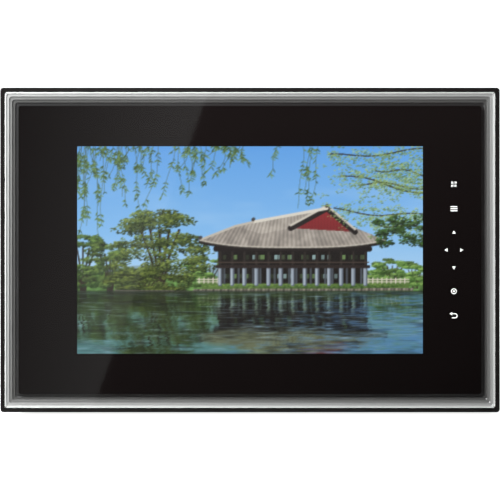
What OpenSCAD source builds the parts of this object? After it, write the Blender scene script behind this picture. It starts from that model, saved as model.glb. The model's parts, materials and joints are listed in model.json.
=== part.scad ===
// Seven-inch digital photo frame that stands on a fold-out rear leg.
// Every piece is drawn upright: X to the right, Y from the face to the back,
// Z up from the body's lower edge. stand() then leans the piece back.

/* [Body] */
// Width of the body
body_w = 220; // [200:1:260]
// Height of the body
body_h = 143; // [130:1:170]
// Corner radius of the black rim
rim_r = 1.4; // [1:0.1:3]
// Width of the black rim seen around the front panel
rim_w = 1.8; // [1.5:0.1:2.5]
// Depth of the front bezel's rear edge, where the rear cover starts
seam_y = 9; // [8.8:0.1:10]
// Depth of the thin outer part of the rear cover
shoulder_y = 15; // [14.5:0.5:15]
// Whole depth of the body
back_y = 24; // [24:0.5:28]
// Wall of the plastic housings
wall = 1.8; // [1.5:0.1:2]

/* [Front panel] */
// Thickness of the clear panel
panel_t = 2.4; // [2:0.1:2.5]
// How far the panel stands in front of the rim
panel_proud = 1; // [0.5:0.1:1.5]
// Gap around the panel
panel_gap = 0.15; // [0.1:0.05:0.3]
// Polished edge chamfer of the panel
panel_bevel = 0.3; // [0.1:0.1:0.5]
// Width of the clear border that shows the stepped ring
border_w = 6.2; // [5:0.1:7]
// Number of terraces in the stepped ring
terraces = 5; // [3:1:6]
// Drop from one terrace to the next
terrace_drop = 0.32; // [0.2:0.02:0.34]

/* [Display] */
// Width of the picture
view_w = 152.4; // [140:0.1:160]
// Height of the picture
view_h = 91.44; // [85:0.01:96]
// Width of the display module
lcd_w = 165; // [164:0.5:166]
// Height of the display module
lcd_h = 100; // [99:0.5:101]

/* [Touch keys] */
// Distance of the key column from the body's centre
key_x = 89.9; // [88:0.1:92]
// Spacing of the two upper and the two lower keys
key_pitch = 10.8; // [9:0.1:12]
// Height of the upper menu key over the body's centre
key_menu_z = 18.2; // [17:0.1:20]
// Reach of the arrow keys from the centre of the cross, up and down
arrow_z = 7.8; // [7:0.1:9]
// Reach of the arrow keys from the centre of the cross, sideways
arrow_x = 3.35; // [3:0.05:4]

/* [Stand] */
// Angle by which the body leans back
lean = 14; // [10:0.5:18]
// Angle between the open leg and the back of the body
leg_open = 30; // [26:0.5:32]
// Height of the leg's hinge over the lower edge
hinge_z = 91; // [88:1:94]
// Radius of the hinge pin
pin_r = 1.25; // [1:0.05:1.4]
// Radial clearance of the leg on its pin
pin_fit = 0.05; // [0.02:0.01:0.1]
// Width of the leg at the hinge
leg_w = 44; // [40:1:44]
// Width of the leg at its foot
leg_foot_w = 34; // [28:1:40]

/* [Wall hanging] */
// Distance between the two keyholes
keyhole_pitch = 100; // [98:1:102]
// Radius of the keyhole's round entry
keyhole_entry_r = 4; // [3.8:0.1:4.2]
// Radius of the keyhole's slot
keyhole_slot_r = 2.1; // [1.8:0.1:2.4]

/* [Hidden] */

// Smoothness of round pieces, and of the round corners inside hulls
$fn = 48;
hull_fn = 32;
// Overlap that keeps a cut clear of the face it starts from
eps = 0.1;

mid_z = body_h / 2;
print_t = 0.12;
ring_y = panel_t;
shelf_y = panel_t + 2;
shelf_t = 2;
shelf_back_y = shelf_y + shelf_t;
mask_w = body_w - 2 * (rim_w + border_w);
mask_h = body_h - 2 * (rim_w + border_w);
mask_back_y = panel_t + 2 * print_t;
lcd_y = panel_t + 1;
lcd_back_y = 7.8;
sheet = 0.3;

// The deeper middle box of the rear cover
box_w = 192;
box_low = 13;
box_high = 130;
box_r = 7;
box_in_w = box_w - 2 * wall;
back_in_y = back_y - wall;
shoulder_inset = 1.2;

// The main board, its parts' side and the side with the sockets
board_y = 14.2;
board_t = 1.6;
part_y = board_y + board_t;
board_left = 30;
board_right = 93.4;
board_low = 48;
board_high = 127.4;
socket_x = 94;
posts = [[34.5, 52.5], [74, 53.5], [34.5, 100], [76, 123.5]];
post_r = 2.8;

// Sockets along the right side of the box: height of each centre
dc_z = 53.6;
card_z = 74.2;
usb_z = 97;
mini_usb_z = 110;
phone_z = 119.8;
phone_r = 1.8;
dc_r = 1.8;

// Slide switch in the top of the box
switch_x = 36.5;
switch_y = 18;
switch_travel = 3;
knob_w = 3.2;
knob_t = 1.8;

// Speakers and housing screws
speaker_x = 66;
speaker_z = 31;
speaker_r = 13;
speakers = [-speaker_x, speaker_x];
lug_x = 15.2;
lugs = [for (x = speakers, side = [-1, 1]) x + side * lug_x];
pilot_r = 0.85;
boss_r = 3.2;
corner_x = body_w / 2 - 8.5;
screw_spots = [for (x = [-corner_x, corner_x], z = [8.5, body_h - 8.5]) [x, z]];
top_spots = [[0, 7], [0, body_h - 7]];
lcd_spots = [for (x = [-50, 50], z = [mid_z - 56, mid_z + 56]) [x, z]];

// Feet let into the lower edge: their centres, half width and depth
foot_x = 80;
foot_half = 10;
foot_y = [10.6, 13.2];
foot_let_in = 0.6;

// The leg's recess, its hinge and the plane that the frame stands on
recess_w = 50;
recess_high = 105;
recess_y = 17;
hinge_y = 20.4;
ear_x = 23.2;
ear_t = 1.2;
bracket_low = hinge_z + 4.5;
bracket_xs = [-17, 0, 17];
bracket_screw_z = 100.4;
barrel_r = 3;
leg_in = 2.6;
leg_out = 2.4;
table_z = -(seam_y * sin(lean)) - 0.32;
tilt = leg_open - lean;
hinge_back = hinge_y * cos(lean) + hinge_z * sin(lean);
hinge_up = hinge_z * cos(lean) - hinge_y * sin(lean) - table_z;
leg_l = hinge_up / cos(tilt);
pad_l = 7;
front_reach = (rim_w + panel_gap + panel_bevel) * sin(lean);
rear_reach = hinge_back + leg_out / cos(tilt) + hinge_up * tan(tilt);
centre_y = (front_reach + rear_reach) / 2;

// Leans an upright piece back and sets it on the table, centred front to back
module stand() {
    translate([0, -centre_y, -table_z])
        rotate([-lean, 0, 0])
            children();
}

// Turns the leg's own shape, which points straight down, out to the open angle
module open_leg() {
    translate([0, hinge_y, hinge_z])
        rotate([leg_open, 0, 0])
            children();
}

// Rounded rectangle about the origin, built of two squares and four circles
module rounded(w, h, r) {
    square([w - 2 * r, h], center = true);
    square([w, h - 2 * r], center = true);
    for (x = [-1, 1], z = [-1, 1])
        translate([x * (w / 2 - r), z * (h / 2 - r)])
            circle(r);
}

// Extrudes an outline drawn in X and Z from depth y0 to depth y1
module slab(y0, y1) {
    rotate([90, 0, 0])
        translate([0, 0, -y1])
            linear_extrude(y1 - y0)
                children();
}

// Rounded plate about the body's centre
module plate(w, h, r, y0, y1) {
    slab(y0, y1)
        translate([0, mid_z])
            rounded(w, h, r);
}

// Block between two corners, given as x, y, z
module block(a, b) {
    translate(a)
        cube(b - a);
}

// Round rod along Y at a place in X and Z
module rod(x, z, r, y0, y1) {
    translate([x, y0, z])
        rotate([-90, 0, 0])
            cylinder(h = y1 - y0, r = r);
}

// Round rod along X
module cross_rod(x0, x1, y, z, r) {
    translate([x0, y, z])
        rotate([0, 90, 0])
            cylinder(h = x1 - x0, r = r);
}

// Convex shell with its rear edge rounded over
module soft_box(w, low, high, r, y0, y1, edge) {
    middle = (low + high) / 2;
    steps = [[0, 1], [0.12, 0.5], [0.4, 0.17], [1, 0]];
    hull()
        for (s = steps)
            translate([0, 0, middle])
                rotate([90, 0, 0])
                    translate([0, 0, -(y1 - s[1] * edge)])
                        linear_extrude(y1 - s[1] * edge - y0)
                            rounded(w - 2 * s[0] * edge, high - low - 2 * s[0] * edge,
                                r, $fn = hull_fn);
}

// Cross cut in the head of a screw, half as deep as t
module cross_cut(x, y, z, head_r, t) {
    for (turn = [0, 90])
        translate([x, y, z])
            rotate([0, turn, 0])
                cube([head_r * 1.2, t, head_r * 0.28], center = true);
}

// Self-tapping screw with its head towards the back
module rear_screw(x, z, head_y, length, shank_r, head_r, head_t) {
    difference() {
        union() {
            rod(x, z, shank_r, head_y - length, head_y + eps);
            rod(x, z, head_r, head_y, head_y + head_t);
        }
        cross_cut(x, head_y + head_t, z, head_r, head_t);
    }
}

// Self-tapping screw driven from the front, with its head towards the face
module front_screw(x, z, head_y, length, head_r, head_t) {
    difference() {
        union() {
            rod(x, z, head_r, head_y - head_t, head_y);
            rod(x, z, 0.8, head_y - eps, head_y + length);
        }
        cross_cut(x, head_y - head_t, z, head_r, head_t);
    }
}

// Direction across a line of points at one of them
function across(points, i) =
    let (step = points[min(i + 1, len(points) - 1)] - points[max(i - 1, 0)])
        [-step[1], step[0]] / norm(step);

// Thin ribbon that follows points in Y and Z, between two places in X
module ribbon(x0, x1, t, points) {
    n = len(points) - 1;
    upper = [for (i = [0:n]) points[i] + across(points, i) * t / 2];
    lower = [for (i = [n:-1:0]) points[i] - across(points, i) * t / 2];
    translate([x0, 0, 0])
        rotate([90, 0, 90])
            linear_extrude(x1 - x0)
                polygon(concat(upper, lower));
}

// Insulated wire that follows points in X, Y and Z
module wire(r, points) {
    for (i = [0:len(points) - 2]) {
        step = points[i + 1] - points[i];
        flat = sqrt(step[0] ^ 2 + step[1] ^ 2);
        translate(points[i])
            rotate([0, atan2(flat, step[2]), atan2(step[1], step[0])])
                cylinder(h = norm(step), r = r);
        if (i > 0)
            translate(points[i])
                sphere(r);
    }
}

// Front side

module front_panel() {
    w = body_w - 2 * (rim_w + panel_gap);
    h = body_h - 2 * (rim_w + panel_gap);
    color("gainsboro", 0.35)
        stand()
            hull() {
                plate(w, h, 1, panel_bevel, panel_t, $fn = hull_fn);
                plate(w - 2 * panel_bevel, h - 2 * panel_bevel, 0.8, 0, panel_bevel,
                    $fn = hull_fn);
            }
}

// One triangular arrow that points along +X before it is turned
module arrow_symbol(x, z, turn) {
    size = 0.8;
    translate([x, z])
        rotate(turn)
            polygon([[size, 0], [-size * 0.7, size], [-size * 0.7, -size]]);
}

// Four small squares: changes the view
module grid_symbol() {
    for (x = [-0.7, 0.7], z = [-0.7, 0.7])
        translate([x, z])
            square(1, center = true);
}

// Three bars: opens the list of settings
module list_symbol() {
    for (z = [-0.9, 0, 0.9])
        translate([0, z])
            square([3, 0.4], center = true);
}

// Ring with a dot: confirms
module confirm_symbol() {
    difference() {
        circle(1.25);
        circle(0.9);
    }
    circle(0.45);
}

// Arrow that turns back: goes one step back
module return_symbol() {
    translate([0.5, 0])
        difference() {
            circle(1.1);
            circle(0.7);
            translate([-2, -2])
                square([2, 4]);
        }
    for (z = [-0.9, 0.9])
        translate([-0.15, z])
            square([1.5, 0.4], center = true);
    translate([-1.1, 0.9])
        rotate(180)
            polygon([[0.9, 0], [-0.35, 0.75], [-0.35, -0.75]]);
}

module key_symbols() {
    color("white")
        stand()
            slab(panel_t, panel_t + print_t)
                translate([key_x, mid_z]) {
                    translate([0, key_menu_z + key_pitch])
                        grid_symbol();
                    translate([0, key_menu_z])
                        list_symbol();
                    arrow_symbol(0, arrow_z, 90);
                    arrow_symbol(0, -arrow_z, -90);
                    arrow_symbol(arrow_x, 0, 0);
                    arrow_symbol(-arrow_x, 0, 180);
                    translate([0, -key_menu_z])
                        confirm_symbol();
                    translate([0, -key_menu_z - key_pitch])
                        return_symbol();
                }
}

module print_mask() {
    color("black")
        stand()
            difference() {
                plate(mask_w, mask_h, 1, panel_t + print_t, mask_back_y);
                slab(panel_t, mask_back_y + eps)
                    translate([0, mid_z])
                        square([view_w, view_h], center = true);
            }
}

module stepped_ring() {
    w = body_w - 2 * (rim_w + panel_gap);
    h = body_h - 2 * (rim_w + panel_gap);
    pitch = border_w / terraces;
    color("silver")
        stand()
            difference() {
                plate(w, h, 1, ring_y, shelf_y);
                for (k = [1:terraces - 1])
                    plate(w - 2 * k * pitch, h - 2 * k * pitch, 1,
                        ring_y - eps, ring_y + k * terrace_drop);
                plate(mask_w - 4, mask_h - 4, 1, ring_y - eps, shelf_y + eps);
            }
}

// Opening in the bezel's shelf behind the touch keys
module touch_pocket() {
    block([84.8, shelf_y - eps, mid_z - 38], [99.4, shelf_back_y + eps, mid_z + 38]);
}

module front_bezel() {
    rib = 1.2;
    color("dimgray")
        stand()
            difference() {
                union() {
                    difference() {
                        plate(body_w, body_h, rim_r, panel_proud, seam_y);
                        plate(body_w - 2 * rim_w, body_h - 2 * rim_w, 1,
                            panel_proud - eps, seam_y + eps);
                    }
                    plate(body_w - rim_w, body_h - rim_w, 1, shelf_y, shelf_back_y);
                    plate(lcd_w + 0.6 + 2 * rib, lcd_h + 0.6 + 2 * rib, 0.5, shelf_y,
                        shelf_back_y + 1);
                    for (p = concat(screw_spots, top_spots))
                        rod(p[0], p[1], boss_r, shelf_y, seam_y);
                    for (p = lcd_spots)
                        rod(p[0], p[1], 2.6, shelf_y, lcd_back_y);
                }
                plate(lcd_w + 0.6, lcd_h + 0.6, 0.3, shelf_y - eps, seam_y + eps);
                touch_pocket();
                for (p = concat(screw_spots, top_spots))
                    rod(p[0], p[1], 1.05, shelf_back_y - 1, seam_y + eps);
                for (p = lcd_spots)
                    rod(p[0], p[1], pilot_r, shelf_y + 0.6, lcd_back_y + eps);
            }
}

// Display module

module lcd_gasket() {
    color("dimgray")
        stand()
            difference() {
                plate(lcd_w - 1, lcd_h - 1, 0.5, mask_back_y, lcd_y);
                plate(view_w + 3, view_h + 3, 0.3, mask_back_y - eps, lcd_y + eps);
            }
}

module lcd_frame() {
    color("silver")
        stand()
            difference() {
                plate(lcd_w, lcd_h, 0.5, lcd_y, lcd_back_y);
                plate(view_w + 2, view_h + 2, 0.3, lcd_y - eps, lcd_back_y);
                plate(lcd_w - 2 * sheet, lcd_h - 2 * sheet, 0.3, lcd_y + sheet,
                    lcd_back_y + eps);
            }
}

module lcd_glass() {
    color("steelblue")
        stand()
            plate(lcd_w - 1.2, lcd_h - 1.2, 0.3, lcd_y + sheet, lcd_y + sheet + 1.2);
}

module light_guide() {
    color("white")
        stand()
            block([-lcd_w / 2 + 0.6, 5, mid_z - lcd_h / 2 + 4.2],
                [lcd_w / 2 - 0.6, 7.4, mid_z + lcd_h / 2 - 0.6]);
}

module backlight_strip() {
    low = mid_z - lcd_h / 2 + 0.6;
    color("khaki")
        stand() {
            block([-lcd_w / 2 + 0.6, 5, low], [lcd_w / 2 - 0.6, 7.4, low + 1]);
            for (i = [0:17])
                translate([-lcd_w / 2 + 5 + i * (lcd_w - 10) / 17 - 1.5, 5.6, low + 0.9])
                    cube([3, 1.2, 1.2]);
        }
}

module lcd_tray() {
    color("lightgray")
        stand()
            difference() {
                plate(lcd_w - 0.8, lcd_h - 0.8, 0.5, lcd_back_y - sheet, lcd_back_y);
                for (x = [-60, -20, 20, 60])
                    rod(x, mid_z, 2, lcd_back_y - sheet - eps, lcd_back_y + eps);
            }
}

module lcd_brackets() {
    color("silver")
        stand()
            for (p = lcd_spots) {
                inward = p[1] > mid_z ? -1 : 1;
                difference() {
                    slab(lcd_back_y, lcd_back_y + 0.8)
                        translate([p[0], p[1] + inward * 3])
                            rounded(9, 13, 2);
                    rod(p[0], p[1], 1.3, lcd_back_y - eps, lcd_back_y + 0.8 + eps);
                }
            }
}

module lcd_screws() {
    color("gainsboro")
        stand()
            for (p = lcd_spots)
                rear_screw(p[0], p[1], lcd_back_y + 0.8, 3, 0.8, 2, 1);
}

module lcd_ribbon() {
    color("orange")
        stand()
            ribbon(42, 60, 0.16,
                [[lcd_back_y + 0.1, 27], [8.6, 32], [12.6, 50], [board_y - 0.4, 52],
                    [board_y - 0.2, 58]]);
}

// Touch keys

module touch_board() {
    color("darkgreen")
        stand()
            slab(panel_t + 0.36, panel_t + 1.36)
                translate([91, mid_z])
                    rounded(16, 74, 1);
}

module touch_pads() {
    spots = [
        [0, key_menu_z + key_pitch], [0, key_menu_z], [0, arrow_z + 0.6], [0, -arrow_z - 0.6],
        [arrow_x, 0], [-arrow_x, 0], [0, -key_menu_z], [0, -key_menu_z - key_pitch],
    ];
    color("goldenrod")
        stand()
            for (p = spots)
                difference() {
                    rod(key_x + p[0], mid_z + p[1], 2.5, panel_t + 0.28, panel_t + 0.36);
                    rod(key_x + p[0], mid_z + p[1], 1.2, panel_t + 0.2, panel_t + 0.4);
                }
}

module touch_chip() {
    color("black")
        stand()
            block([89.5, panel_t + 1.36, mid_z + 10], [94.5, panel_t + 2.3, mid_z + 15]);
}

module touch_ribbon() {
    color("orange")
        stand()
            ribbon(88, 92, 0.16,
                [[panel_t + 1.5, 37.5], [5.2, 39], [12, 46], [board_y - 0.2, 48.6],
                    [board_y - 0.2, 55]]);
}

// Main board and its parts

module insulating_sheet() {
    color("whitesmoke")
        stand()
            block([30, 9.3, 62], [93, 9.5, 121]);
}

module main_board() {
    color("green")
        stand()
            difference() {
                slab(board_y, part_y)
                    translate([(board_left + board_right) / 2, (board_low + board_high) / 2])
                        rounded(board_right - board_left, board_high - board_low, 3.2);
                for (p = posts)
                    rod(p[0], p[1], 1.3, board_y - eps, part_y + eps);
            }
}

// Chip with its centre in X and Z, on the rear side of the board
module chip(x, z, w, h, t) {
    block([x - w / 2, part_y, z - h / 2], [x + w / 2, part_y + t, z + h / 2]);
}

module processor() {
    color("black")
        stand()
            chip(52, 84, 14, 14, 1.4);
}

module memory_chips() {
    color("black")
        stand()
            for (z = [78, 90])
                chip(37, z, 11, 8, 1.2);
}

module flash_chip() {
    color("black")
        stand()
            chip(52, 64, 18, 12, 1.1);
}

module crystal() {
    color("silver")
        stand()
            slab(part_y, part_y + 3.4)
                translate([72, 96])
                    rounded(4.6, 11, 2.2);
}

module inductors() {
    color("dimgray")
        stand()
            for (p = [[65, 118], [70, 108]])
                difference() {
                    chip(p[0], p[1], 7, 7, 3.2);
                    rod(p[0], p[1], 2.4, part_y + 2.8, part_y + 3.3);
                }
}

module capacitors() {
    color("silver")
        stand()
            for (x = [43, 51, 59])
                rod(x, 52.6, 3, part_y, part_y + 5.4);
}

// Memory card socket: a flat metal cover with the card's slot in its side
module card_socket() {
    color("silver")
        stand()
            difference() {
                block([65.5, part_y, card_z - 13.2], [socket_x, part_y + 2.9, card_z + 13.2]);
                block([67.5, part_y + 0.35, card_z - 12.2],
                    [socket_x + eps, part_y + 2.55, card_z + 12.2]);
            }
}

// Socket for a memory stick: a metal tube with a flat tongue inside
module usb_socket() {
    color("silver")
        stand() {
            difference() {
                block([80, part_y, usb_z - 6.6], [socket_x, part_y + 5.7, usb_z + 6.6]);
                block([81.5, part_y + 0.4, usb_z - 6.2],
                    [socket_x + eps, part_y + 5.3, usb_z + 6.2]);
            }
            block([81.4, part_y + 3.2, usb_z - 5.6], [socket_x - 1, part_y + 5, usb_z + 5.6]);
        }
}

module mini_usb_socket() {
    color("silver")
        stand() {
            difference() {
                block([85, part_y, mini_usb_z - 3.8],
                    [socket_x, part_y + 3.9, mini_usb_z + 3.8]);
                block([86, part_y + 0.4, mini_usb_z - 3.4],
                    [socket_x + eps, part_y + 3.5, mini_usb_z + 3.4]);
            }
            block([85.9, part_y + 1.6, mini_usb_z - 2.4],
                [socket_x - 0.8, part_y + 2.3, mini_usb_z + 2.4]);
        }
}

module earphone_jack() {
    y = part_y + 2.5;
    color("black")
        stand()
            difference() {
                union() {
                    block([81.4, part_y, phone_z - 3.2], [socket_x, part_y + 5, phone_z + 3.2]);
                    cross_rod(socket_x - eps, box_w / 2 - 0.4, y, phone_z, 2.4);
                }
                cross_rod(81.9, box_w / 2, y, phone_z, phone_r);
            }
}

module dc_jack() {
    y = part_y + 2.6;
    color("black")
        stand()
            difference() {
                union() {
                    block([84, part_y, dc_z - 3.5], [socket_x, part_y + 5.2, dc_z + 3.5]);
                    cross_rod(socket_x - eps, box_w / 2 - 0.4, y, dc_z, 2.5);
                }
                cross_rod(86, box_w / 2, y, dc_z, dc_r);
            }
}

module dc_pin() {
    color("gold")
        stand()
            cross_rod(86, socket_x + 0.6, part_y + 2.6, dc_z, 0.6);
}

module switch_body() {
    color("silver")
        stand()
            difference() {
                block([switch_x - 5.7, part_y, 122.6],
                    [switch_x + 5.7, part_y + 4.4, board_high]);
                block([switch_x - 3.7, switch_y - knob_t / 2 - 0.3, 125],
                    [switch_x + 3.7, switch_y + knob_t / 2 + 0.3, board_high + eps]);
            }
}

module switch_slider() {
    low = switch_x - (knob_w + switch_travel) / 2;
    color("black")
        stand()
            difference() {
                block([low, switch_y - knob_t / 2, 125.4],
                    [low + knob_w, switch_y + knob_t / 2, box_high + 1.6]);
                for (i = [1:3])
                    translate([low + i * knob_w / 4 - 0.15, switch_y - knob_t, box_high + 1.3])
                        cube([0.3, 2 * knob_t, 1]);
            }
}

module cell_holder() {
    color("black")
        stand()
            difference() {
                rod(52, 108, 11.4, 10.2, board_y);
                rod(52, 108, 10.2, 10.2 - eps, board_y - 0.5);
            }
}

module coin_cell() {
    color("silver")
        stand()
            rod(52, 108, 10, board_y - 3.7, board_y - 0.5);
}

// Sound

module speaker_baskets() {
    color("dimgray")
        stand()
            for (x = speakers)
                difference() {
                    rod(x, speaker_z, speaker_r, 18.2, back_in_y - 0.6);
                    rod(x, speaker_z, 11.2, 19.2, back_in_y);
                    rod(x, speaker_z, 6.2, 18.2 - eps, 19.3);
                }
}

module speaker_cones() {
    profile = [[0, 0], [3.2, 0], [4.2, -1.1], [9.4, 0.6], [10.9, 0.6], [10.9, 0.9], [9.3, 0.9],
        [4.3, -0.7], [3.4, 0.4], [0, 0.4]];
    color("black")
        stand()
            for (x = speakers)
                translate([x, back_in_y - 1.6, speaker_z])
                    rotate([-90, 0, 0])
                        rotate_extrude()
                            polygon(profile);
}

module speaker_magnets() {
    color("silver")
        stand()
            for (x = speakers)
                rod(x, speaker_z, 6, 15.4, 19);
}

module speaker_gaskets() {
    color("dimgray")
        stand()
            for (x = speakers)
                difference() {
                    rod(x, speaker_z, speaker_r, back_in_y - 0.6, back_in_y);
                    rod(x, speaker_z, 11.2, back_in_y - 1, back_in_y + eps);
                }
}

module speaker_screws() {
    color("gainsboro")
        stand()
            for (x = lugs)
                front_screw(x, speaker_z, 18.2, 3.2, 2.6, 1);
}

module speaker_wires() {
    color("firebrick")
        stand() {
            for (s = [-0.7, 0.7]) {
                wire(0.5, [[-speaker_x + 8, 17.4, speaker_z + s + 3],
                    [-44, 13 + s, speaker_z + 6], [-20, 12 + s, 40], [20, 12 + s, 42],
                    [36 + s, 13.4, 49 + s]]);
                wire(0.5, [[speaker_x - 8, 17.4, speaker_z + s + 3],
                    [52, 14 + s, 38], [40 + s, 13.4, 47]]);
            }
        }
}

module board_screws() {
    color("gainsboro")
        stand()
            for (p = posts)
                front_screw(p[0], p[1], board_y, board_t + 3.4, 2.2, 1.2);
}

// Rear side

// Round grille: rows of holes inside a circle
module grille(x, z) {
    pitch = 2.6;
    for (i = [-4:4], j = [-4:4]) {
        dx = (i + (j % 2 == 0 ? 0 : 0.5)) * pitch;
        dz = j * pitch * 0.866;
        if (norm([dx, dz]) < 10)
            rod(x + dx, z + dz, 0.75, back_in_y - eps, back_y + eps);
    }
}

// Row of upright cooling slots
module vents(x) {
    for (i = [-4:4])
        slab(back_in_y - eps, back_y + eps)
            translate([x + i * 3.6, 84])
                rounded(1.5, 16, 0.74);
}

// Hollow behind a keyhole that the screw's head slides in
module keyhole_cut(x, z) {
    slab(back_in_y - eps, back_y + eps)
        translate([x, z]) {
            circle(keyhole_entry_r);
            translate([-keyhole_slot_r, 0])
                square([2 * keyhole_slot_r, 8]);
            translate([0, 8])
                circle(keyhole_slot_r);
        }
    block([x - 5, recess_y + 0.2, z - 5], [x + 5, back_in_y, z + 12.5]);
}

// Openings in the right side of the box for the sockets, and one for the switch
module port_cuts() {
    x0 = box_in_w / 2 - 1;
    x1 = box_w / 2 + 1;
    block([x0, part_y + 0.35, card_z - 12.2], [x1, part_y + 2.55, card_z + 12.2]);
    block([x0, part_y, usb_z - 6.8], [x1, part_y + 5.9, usb_z + 6.8]);
    block([x0, part_y, mini_usb_z - 4], [x1, part_y + 4.1, mini_usb_z + 4]);
    cross_rod(x0, x1, part_y + 2.5, phone_z, 2.5);
    cross_rod(x0, x1, part_y + 2.6, dc_z, 2.6);
    block([switch_x - 3.5, switch_y - knob_t / 2 - 0.3, box_high - wall - 1],
        [switch_x + 3.5, switch_y + knob_t / 2 + 0.3, box_high + 1]);
}

// The two feet under the lower edge, from a given height up into their seats
module foot_blocks(low) {
    for (x = [-foot_x, foot_x])
        block([x - foot_half, foot_y[0], low],
            [x + foot_half, foot_y[1], shoulder_inset + foot_let_in]);
}

module rear_cover() {
    flange_w = body_w - 2 * shoulder_inset;
    keyholes = [-keyhole_pitch / 2, keyhole_pitch / 2];
    color("dimgray")
        stand()
            difference() {
                union() {
                    difference() {
                        union() {
                            soft_box(flange_w, shoulder_inset, body_h - shoulder_inset,
                                2, seam_y, shoulder_y, 1.6);
                            soft_box(box_w, box_low, box_high, box_r, seam_y, back_y, 2.4);
                        }
                        plate(flange_w - 2 * wall, body_h - 2 * shoulder_inset - 2 * wall,
                            1, seam_y - eps, shoulder_y - wall);
                        slab(seam_y, back_in_y)
                            translate([0, (box_low + box_high) / 2])
                                rounded(box_in_w, box_high - box_low - 2 * wall, 4);
                    }
                    block([-recess_w / 2 - wall, recess_y - wall, box_low + 0.2],
                        [recess_w / 2 + wall, back_in_y + eps, recess_high + wall]);
                    for (x = keyholes)
                        block([x - 6, 16, 101], [x + 6, back_in_y + eps, 121]);
                    for (p = posts)
                        rod(p[0], p[1], post_r, part_y, back_in_y + eps);
                    for (p = concat(screw_spots, top_spots))
                        rod(p[0], p[1], boss_r, seam_y, shoulder_y - wall + eps);
                    for (x = lugs)
                        rod(x, speaker_z, 2, 18.2, back_in_y + eps);
                }
                block([-recess_w / 2, recess_y, box_low - 1],
                    [recess_w / 2, back_y + 1, recess_high]);
                for (x = keyholes)
                    keyhole_cut(x, 107.5);
                for (p = posts)
                    rod(p[0], p[1], pilot_r, part_y - eps, part_y + 4.6);
                for (p = concat(screw_spots, top_spots)) {
                    rod(p[0], p[1], 1.5, seam_y - eps, shoulder_y);
                    rod(p[0], p[1], 2.7, shoulder_y - 2.6, shoulder_y + eps);
                }
                for (x = lugs)
                    rod(x, speaker_z, pilot_r, 18, 21.8);
                for (x = speakers)
                    grille(x, speaker_z);
                vents(-62);
                vents(62);
                port_cuts();
                foot_blocks(shoulder_inset - 1);
                for (x = bracket_xs)
                    rod(x, bracket_screw_z, 0.9, recess_y - wall - eps, recess_y + eps);
            }
}

module housing_screws() {
    color("gainsboro")
        stand()
            for (p = concat(screw_spots, top_spots))
                rear_screw(p[0], p[1], shoulder_y - 2.6, 6.4, 1, 2.4, 1.4);
}

// Stand

// Steel bracket: a base plate in the recess and two ears that hold the pin
module hinge_bracket() {
    color("silver")
        stand()
            difference() {
                union() {
                    block([-ear_x - ear_t, recess_y, bracket_low],
                        [ear_x + ear_t, recess_y + 1.2, recess_high - 0.4]);
                    for (x = [-ear_x - ear_t, ear_x]) {
                        block([x, recess_y, hinge_z], [x + ear_t, 22.6, recess_high - 0.4]);
                        cross_rod(x, x + ear_t, hinge_y, hinge_z, 3);
                    }
                }
                cross_rod(-30, 30, hinge_y, hinge_z, pin_r);
                for (x = bracket_xs)
                    rod(x, bracket_screw_z, 1.2, recess_y - eps, recess_y + 1.3);
            }
}

module hinge_pin() {
    color("lightgray")
        stand()
            cross_rod(-ear_x - ear_t, ear_x + ear_t, hinge_y, hinge_z, pin_r);
}

module hinge_washers() {
    color("gainsboro")
        stand()
            for (x = [-ear_x, ear_x - 0.7])
                difference() {
                    cross_rod(x, x + 0.7, hinge_y, hinge_z, 2.6);
                    cross_rod(x - 1, x + 2, hinge_y, hinge_z, pin_r + pin_fit);
                }
}

module bracket_screws() {
    color("gainsboro")
        stand()
            for (x = bracket_xs)
                rear_screw(x, bracket_screw_z, recess_y + 1.2, 5, 0.85, 2, 1);
}

// Outline of the leg seen from behind, hinge at the origin, foot downwards
module leg_outline(inset, low) {
    hull() {
        translate([0, -5])
            square([leg_w - 2 * inset, 1], center = true);
        for (x = [-1, 1])
            translate([x * (leg_foot_w / 2 - 4), low + 4])
                circle(4 - inset, $fn = hull_fn);
    }
}

module stand_leg() {
    foot = -leg_l + pad_l;
    heel_x = 15;
    color("dimgray")
        stand()
            difference() {
                union() {
                    open_leg() {
                        difference() {
                            slab(-leg_in, leg_out)
                                leg_outline(0, foot - 3);
                            slab(-leg_in + 2, leg_out + 1)
                                leg_outline(2, foot + 2);
                            block([-40, -10, foot - 20], [40, 10, foot]);
                        }
                        for (x = [-8, 8])
                            block([x - 0.8, -leg_in, foot + 1], [x + 0.8, leg_out - 0.4, -6]);
                        block([-leg_w / 2, -leg_in, -7], [leg_w / 2, leg_out, 0]);
                        cross_rod(-leg_w / 2, leg_w / 2, 0, 0, barrel_r);
                    }
                    block([-heel_x, recess_y + 1.4, hinge_z],
                        [heel_x, hinge_y + 0.4, hinge_z + 6]);
                }
                cross_rod(-30, 30, hinge_y, hinge_z, pin_r + pin_fit);
            }
}

// Takes away all that is below the table
module on_table() {
    difference() {
        children();
        translate([-200, -200, -20])
            cube([400, 400, 20]);
    }
}

module leg_pad() {
    foot = -leg_l + pad_l;
    color("black")
        on_table()
            stand()
                open_leg()
                    block([-leg_foot_w / 2 + 0.4, -leg_in, foot - pad_l - 3],
                        [leg_foot_w / 2 - 0.4, leg_out, foot]);
}

module base_feet() {
    color("black")
        on_table()
            stand()
                foot_blocks(-3);
}

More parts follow.
